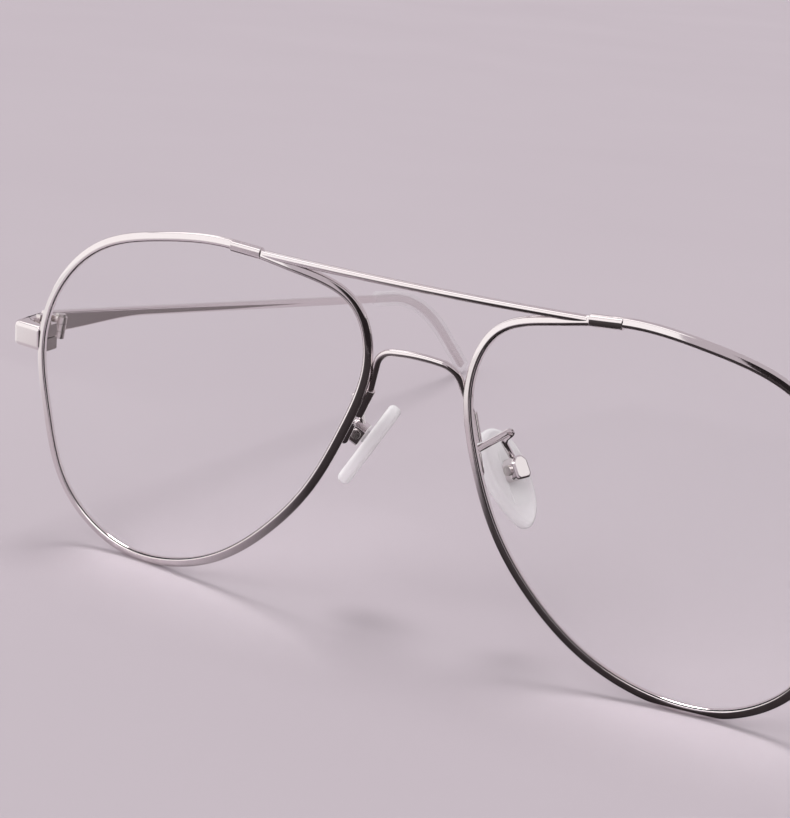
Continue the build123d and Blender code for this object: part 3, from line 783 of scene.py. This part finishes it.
def station_ring(distance, section):
    """A section set at a distance along the temple, on the table."""
    point, across, up = ear_station(distance)
    return standing(at_hinge([point + across * x + up * y for x, y in section]))


def temple_section(distance):
    """The blade's section near the hinge and the bar's further back."""
    t = min(distance / taper_length, 1)
    share = 1 - t * t * (3 - 2 * t)
    low = -bar_height / 2 - share * (blade_top - bar_height - blade_bottom)
    return rounded_section(bar_width, low, bar_height / 2, bar_rounding)


bar_end = straight_length + ear_radius * ear_turn + ear_run
stations = np.concatenate([
    np.linspace(0, taper_length, 32), np.linspace(taper_length, straight_length, 24)[1:],
    np.linspace(straight_length, bar_end, 36)[1:],
])
temple_skin = stitch([station_ring(d, temple_section(d)) for d in stations])
temple_mesh = finished(temple_skin, wire_metal)
fit_pair(temple_mesh, "temple", "temple_left_body")
print("temple length mm:", round(float(bar_end), 1))

# %% [markdown]
# The temple tip is a clear sleeve pushed over the end of the bar. It starts before the bend, follows
# it, and closes past the bar's end. Its mouth swells out of a section just inside the bar, so that no
# dark step shows there, and its end is rounded by smaller and smaller sections.

# %% Temple tips
tip_start, tip_end = straight_length - 8.0, bar_end + 1.2
tip_width, tip_height, tip_rounding, tip_least_rounding = 2.2, 3.0, 0.9, 0.2
mouth_length, end_length = 2.4, 0.8
mouth_section = np.array(rounded_section(1.1, -0.7, 0.7, bar_rounding))


def tip_section(inset):
    """The sleeve's section, drawn in by a distance."""
    half = tip_height / 2 - inset
    return rounded_section(tip_width - 2 * inset, -half, half, max(tip_rounding - inset, tip_least_rounding))


tip_rings = []
for t in np.linspace(0, 1, 10):
    share = math.sin(t * math.pi / 2) ** 1.5
    section = mouth_section * (1 - share) + np.array(tip_section(0)) * share
    tip_rings.append(station_ring(tip_start + mouth_length * t, section))
for d in np.linspace(tip_start + mouth_length, tip_end - end_length, 44)[1:-1]:
    tip_rings.append(station_ring(d, tip_section(0)))
for t in np.linspace(0, math.pi / 2, 8):
    distance = tip_end - end_length * (1 - math.sin(t))
    tip_rings.append(station_ring(distance, tip_section(end_length * (1 - math.cos(t)))))
tip_mesh = finished(stitch(tip_rings), tip_plastic)
fit_pair(tip_mesh, "temple_tip", "temple_left_body")
print("tip rings:", len(tip_rings))

# %% [markdown]
# Six small screws hold these glasses together: one at each pad, one through each rim's closing
# blocks, one in each hinge. A second tree makes them: a head with a slot cut by a boolean, on a
# shank, set at each point and turned to the point's own axis.

# %% The tree that sets slotted screws
def build_screw_tree():
    """Points with an axis in; slotted screws with their shanks out."""
    names = "Head Radius", "Head Height", "Shank Radius", "Shank Length", "Slot Width"
    sizes = dict.fromkeys(names, 1 * mm)
    tree, given = new_tree("slotted_screws_at_points", "Places", sizes, "Screws")

    def raised(shape, height, share):
        """A shape moved up, or down, by a share of a given size."""
        lift = add(tree, "ShaderNodeMath", {0: given[height], 1: share}, operation="MULTIPLY")
        place = add(tree, "ShaderNodeCombineXYZ", {"Z": lift.outputs[0]})
        moved = add(tree, "GeometryNodeTransform", {"Geometry": shape, "Translation": place.outputs[0]})
        return moved.outputs["Geometry"]

    def pin(radius, height, share):
        """A round bar that stands on the seat or hangs below it."""
        bar = add(tree, "GeometryNodeMeshCylinder",
                  {"Vertices": 40, "Radius": given[radius], "Depth": given[height]})
        return raised(bar.outputs["Mesh"], height, share)

    slot = add(tree, "ShaderNodeCombineXYZ",
               {"X": given["Slot Width"], "Y": given["Shank Length"], "Z": given["Head Height"]})
    cutter = add(tree, "GeometryNodeMeshCube", {"Size": slot.outputs[0]}).outputs["Mesh"]
    head = add(tree, "GeometryNodeMeshBoolean", {
        "Mesh 1": pin("Head Radius", "Head Height", 0.5), "Mesh 2": raised(cutter, "Head Height", 1),
    }, operation="DIFFERENCE")
    screw = add(tree, "GeometryNodeJoinGeometry", {"Geometry": head.outputs["Mesh"]})
    tree.links.new(pin("Shank Radius", "Shank Length", -0.5), screw.inputs["Geometry"])
    turn = add(tree, "FunctionNodeAxesToRotation", {
        "Primary Axis": read_attribute(tree, "axis"), "Secondary Axis": read_attribute(tree, "slot_side"),
    }, primary_axis="Z", secondary_axis="X")
    points = add(tree, "GeometryNodeInstanceOnPoints", {
        "Points": given["Places"], "Instance": screw.outputs["Geometry"],
        "Rotation": turn.outputs["Rotation"],
    })
    return end_tree(tree, given, points.outputs["Instances"])


screw_tree = build_screw_tree()
print("screw tree nodes:", len(screw_tree.nodes))

# %% [markdown]
# A screw sits where its head's underside touches, with its axis outwards and its slot turned as the
# screwdriver left it. The left and the right screw of a kind are one piece, because they share one
# node. All three kinds ride on the front.

# %% Six screws in their places
slot_share = 0.36


def screws(node, seat, axis, slot_side, head_radius, head_height, shank_radius, shank_length):
    """The left screw and its mirror image as one piece for a node."""
    mesh = bpy.data.meshes.new("places")
    mesh.from_pydata([tuple(p) for p in standing([seat, seat * (-1, 1, 1)])], [], [])
    for name, way in (("axis", axis), ("slot_side", slot_side)):
        store_directions(mesh, name, np.array([way, way * (-1, 1, 1)]))
    sizes = {
        "Head Radius": head_radius * mm, "Head Height": head_height * mm,
        "Shank Radius": shank_radius * mm, "Shank Length": shank_length * mm,
        "Slot Width": head_radius * slot_share * mm, "Finish": screw_metal,
    }
    done = fit(grow(node, screw_tree, mesh, sizes), node, "front")
    bevel([done], 0.05, 2)
    return done


box_pivot_depth = 1.15
block_inner, block_width, block_depth, rim_half_depth = -0.3, 2.4, 2.5, 0.8
knuckle_height, knuckle_gap = 1.1, 0.06
pad_seat = at_pad(box_mouth + box_pivot_depth, -box_above_middle, box_width / 2)
rim_seat = split + (block_inner + block_width / 2, rim_half_depth + block_depth / 2, lug_half_height)
hinge_seat, hinge_base = at_hinge([(0, 0, knuckle_height * 1.5 + knuckle_gap), (0, 0, 0)])
made = [
    screws("pad_screws", pad_seat, pad_across, pad_face + pad_down, 0.75, 0.35, 0.4, 2.9),
    screws("rim_screws", rim_seat, np.array([0, 0, 1]), np.array([1, 0.4, 0]), 0.75, 0.45, 0.45, 3.4),
    screws("hinge_screws", hinge_seat, unit(hinge_seat - hinge_base), np.array([1, 1.4, 0]),
           0.8, 0.4, 0.45, 3.4),
]
print("screw faces:", {piece.name: len(piece.data.polygons) for piece in made})

# %% [markdown]
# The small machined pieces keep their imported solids, whose shapes are already right: closing blocks,
# hinge leaves, pad boxes and the plates in the pads. They get their finish, and the boxes and blocks
# get rounder edges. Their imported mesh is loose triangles, so a Weld modifier joins the corners first,
# or the Bevel would find no edge between two faces.

# %% Finishes for the solids that stay
finishes = {
    "closing_block": solder_metal, "front_hinge": solder_metal, "temple_hinge": solder_metal,
    "pad_box": wire_metal, "pad_core": core_plastic,
}
for node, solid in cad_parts.items():
    for start, material in finishes.items():
        if node.startswith(start):
            solid.data.materials.clear()
            solid.data.materials.append(material)
    if node.startswith(("pad_box", "closing_block")):
        weld = solid.modifiers.new("weld", "WELD")
        weld.merge_threshold = 0.0005 * mm
        bevel([solid], 0.25, 3, 30)
print("finished solids:", sum(n.startswith(tuple(finishes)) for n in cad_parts))

# %% [markdown]
# The studio is a pale mauve-grey floor under an even sky of the same tone. The sky that the eye, the
# metal and the glass see is set apart from the light that it gives, so that the background keeps its
# colour however the glasses are lit. Light Path tells the two apart.

# %% Sky
sky_tone, sky_light, sky_strength = (0.56, 0.50, 0.54), (1.0, 0.97, 0.99), 0.5
world = bpy.data.worlds.new("studio")
scene.world = world
world.use_nodes = True
sky = world.node_tree
sky.nodes.clear()
seen = add(sky, "ShaderNodeBackground", {"Color": (*sky_tone, 1)})
lighting = add(sky, "ShaderNodeBackground", {"Color": (*sky_light, 1), "Strength": sky_strength})
ray = add(sky, "ShaderNodeLightPath").outputs
any_seen = ray["Is Camera Ray"]
for kind in ("Is Glossy Ray", "Is Transmission Ray"):
    any_seen = add(sky, "ShaderNodeMath", {0: any_seen, 1: ray[kind]}, operation="MAXIMUM").outputs[0]
choice = add(sky, "ShaderNodeMixShader", {0: any_seen, 1: lighting.outputs[0], 2: seen.outputs[0]})
add(sky, "ShaderNodeOutputWorld", {"Surface": choice.outputs[0]})
print("sky:", sky_tone, "light:", sky_light, "at", sky_strength)

# %% [markdown]
# The floor is one large sheet of matte paint whose tone drifts faintly. The same function makes the cards
# that lie on it.

# %% Floor
def staged(name, points, faces, material):
    """A piece of the studio."""
    mesh = bpy.data.meshes.new(name)
    mesh.from_pydata(points, [], faces)
    mesh.materials.append(material)
    card = bpy.data.objects.new(name, mesh)
    scene.collection.objects.link(card)
    return card


def flat_sheet(name, corners, height, material):
    """A flat sheet that lies on the table or just over it."""
    points = [(x, y, height) for x, y in corners]
    return staged(name, points, [tuple(range(len(corners)))], material)


def matte(name, first, second, scale):
    """Matte paint with a faint drift of tone."""
    pattern = (scale, 2)
    return surface(name, first, second, 0.7, 0.2, 0.05, pattern, pattern, {"Specular IOR Level": 0.2})[0]


floor_paint = matte("floor_paint", (0.53, 0.470, 0.510), (0.50, 0.44, 0.48), 9)
floor = flat_sheet("floor", [(-4, -3), (4, -3), (4, 5), (-4, 5)], 0, floor_paint)
print("floor metres:", [round(v, 1) for v in floor.dimensions[:2]])

# %% [markdown]
# Without something dark and something bright to mirror, polished metal looks like grey plastic. So cards
# stand round the glasses, where only reflections see them. To someone who faces the glasses, bright paper is
# on the left, dark card in front and grey card on the right. On the floor, also seen only in reflections,
# lie painted shade in front of and under the glasses, a grey painted shadow just behind their front, and
# painted light on the table to the left. Two of these floor sheets are thinned out near the glasses, or
# their edges would show in the metal.

# %% Paper and paint for the cards
def glow(name, strength):
    """A glowing sheet: paper lit from behind for an upright card, painted light on the table for the floor
    sheet.
    """
    return new_material(name, {
        "Base Color": (0, 0, 0, 1), "Specular IOR Level": 0.0,
        "Emission Color": (1.0, 0.965, 0.97, 1), "Emission Strength": strength,
    })[0]


def fade(material, way, start, end):
    """Thins a card out along a direction: nothing at the start, whole at the end, in metres."""
    tree = material.node_tree
    place = add(tree, "ShaderNodeTexCoord").outputs["Object"]
    along = add(tree, "ShaderNodeVectorMath", {0: place, 1: way}, operation="DOT_PRODUCT")
    share = add(tree, "ShaderNodeMapRange", {
        "Value": along.outputs["Value"], "From Min": start, "From Max": end,
    }, interpolation_type="SMOOTHSTEP")
    shader = next(n for n in tree.nodes if n.bl_idname == "ShaderNodeBsdfPrincipled")
    tree.links.new(share.outputs["Result"], shader.inputs["Alpha"])
    return material


dark_tones = (0.030, 0.022, 0.024), (0.022, 0.017, 0.018)
dark_paint = matte("dark_card", *dark_tones, 5)
grey_paint = matte("grey_card", (0.20, 0.17, 0.18), (0.16, 0.14, 0.15), 5)
# Painted shade: dark paint on the table in front of and under the glasses, which only the metal mirrors.
floor_shade_paint = fade(matte("painted_floor_shade", *dark_tones, 5), (1, -0.43, 0), -0.025, 0.03)
# Painted light: a glowing sheet for the bright table to the left, which only the metal mirrors.
painted_floor_light = fade(glow("painted_floor_light", 0.95), (-1, 0.2, 0), 0.07, 0.16)
print("card materials:", dark_paint.name, grey_paint.name, floor_shade_paint.name, painted_floor_light.name)

# %% [markdown]
# An upright card is bent round the glasses, so that it fills the mirror image without a corner. Its
# place is given by two bearings, in degrees counted from the wearer's left, the height of its foot
# and the heights of its two upper corners.

# %% Cards that only reflections see
def bent_card(name, first, last, low, high, radius, material, steps=12):
    """An upright card bent round the glasses from one bearing to another."""
    points, faces = [], []
    for step in range(steps + 1):
        bearing = math.radians(first + (last - first) * step / steps)
        top = high[0] + (high[1] - high[0]) * step / steps
        for height in (low, top):
            points.append((radius * math.cos(bearing), radius * math.sin(bearing), height))
        if step:
            faces.append((2 * step - 2, 2 * step, 2 * step + 1, 2 * step - 1))
    return staged(name, points, faces, material)


dark_corners = [(-0.03, -0.005), (-0.08, -0.05), (-0.35, -0.7), (-0.42, -0.9),
                (0.93, -0.9), (0.93, -0.1), (0.1, -0.055), (0.055, -0.015)]
bright_corners = [(-0.05, 0.0), (-0.05, -0.2), (-0.2, -0.7), (-0.9, -0.7), (-0.9, 0.1)]
grey_corners = [(-0.05, -0.02), (0.06, -0.03), (0.07, 0.08), (-0.03, 0.08)]
cards = [
    bent_card("dark_front", -92, 8, 0.0, (0.42, 0.62), 0.95, dark_paint),
    bent_card("grey_right", 8, 60, 0.0, (0.62, 0.45), 0.95, grey_paint),
    bent_card("bright_left", -196, -104, 0.0, (0.8, 0.6), 0.9, glow("bright_paper", 1.15)),
    bent_card("bright_high", -216, -104, 0.8, (1.5, 1.5), 0.88, glow("bright_window", 1.5)),
    bent_card("bright_right", 14, 34, 0.28, (0.66, 0.66), 0.93, glow("bright_door", 1.0)),
    # Painted shade on the floor in front of and under the glasses.
    flat_sheet("floor_shade_sheet", dark_corners, 0.0006, floor_shade_paint),
    # Painted light on the table to the left.
    flat_sheet("floor_light_sheet", bright_corners, 0.0004, painted_floor_light),
    # Painted shadow: grey paint just behind the front of the glasses, where their own shadow lies, seen only
    # in the metal.
    flat_sheet("floor_shadow_sheet", grey_corners, 0.0005, grey_paint),
]
for card in cards:
    card.visible_camera = False
    card.visible_shadow = False
    card.visible_diffuse = False
    card.visible_transmission = False
print("cards:", [card.name for card in cards])

# %% [markdown]
# Two far lamps give the shadows: one high behind the glasses, for the soft shadow in front of them,
# and a wide one in front, so that the milky pads look white. Lamps this far light the floor evenly.
# Metal doesn't mirror them, because it has the cards for that.

# %% Lamps
def far_lamp(name, place, strength, spread):
    """Even light from far away, as soft as its spread in degrees."""
    data = bpy.data.lights.new(name, "SUN")
    data.energy = strength
    data.angle = math.radians(spread)
    lamp = bpy.data.objects.new(name, data)
    scene.collection.objects.link(lamp)
    aim = (-Vector(place)).to_track_quat("-Z", "Y")
    lamp.matrix_world = Matrix.Translation(Vector(place)) @ aim.to_matrix().to_4x4()
    lamp.visible_glossy = False


far_lamp("lamp_above", (-0.35, 0.35, 1.2), strength=1.15, spread=22)
far_lamp("lamp_front", (-0.25, -0.9, 0.7), strength=1.5, spread=55)
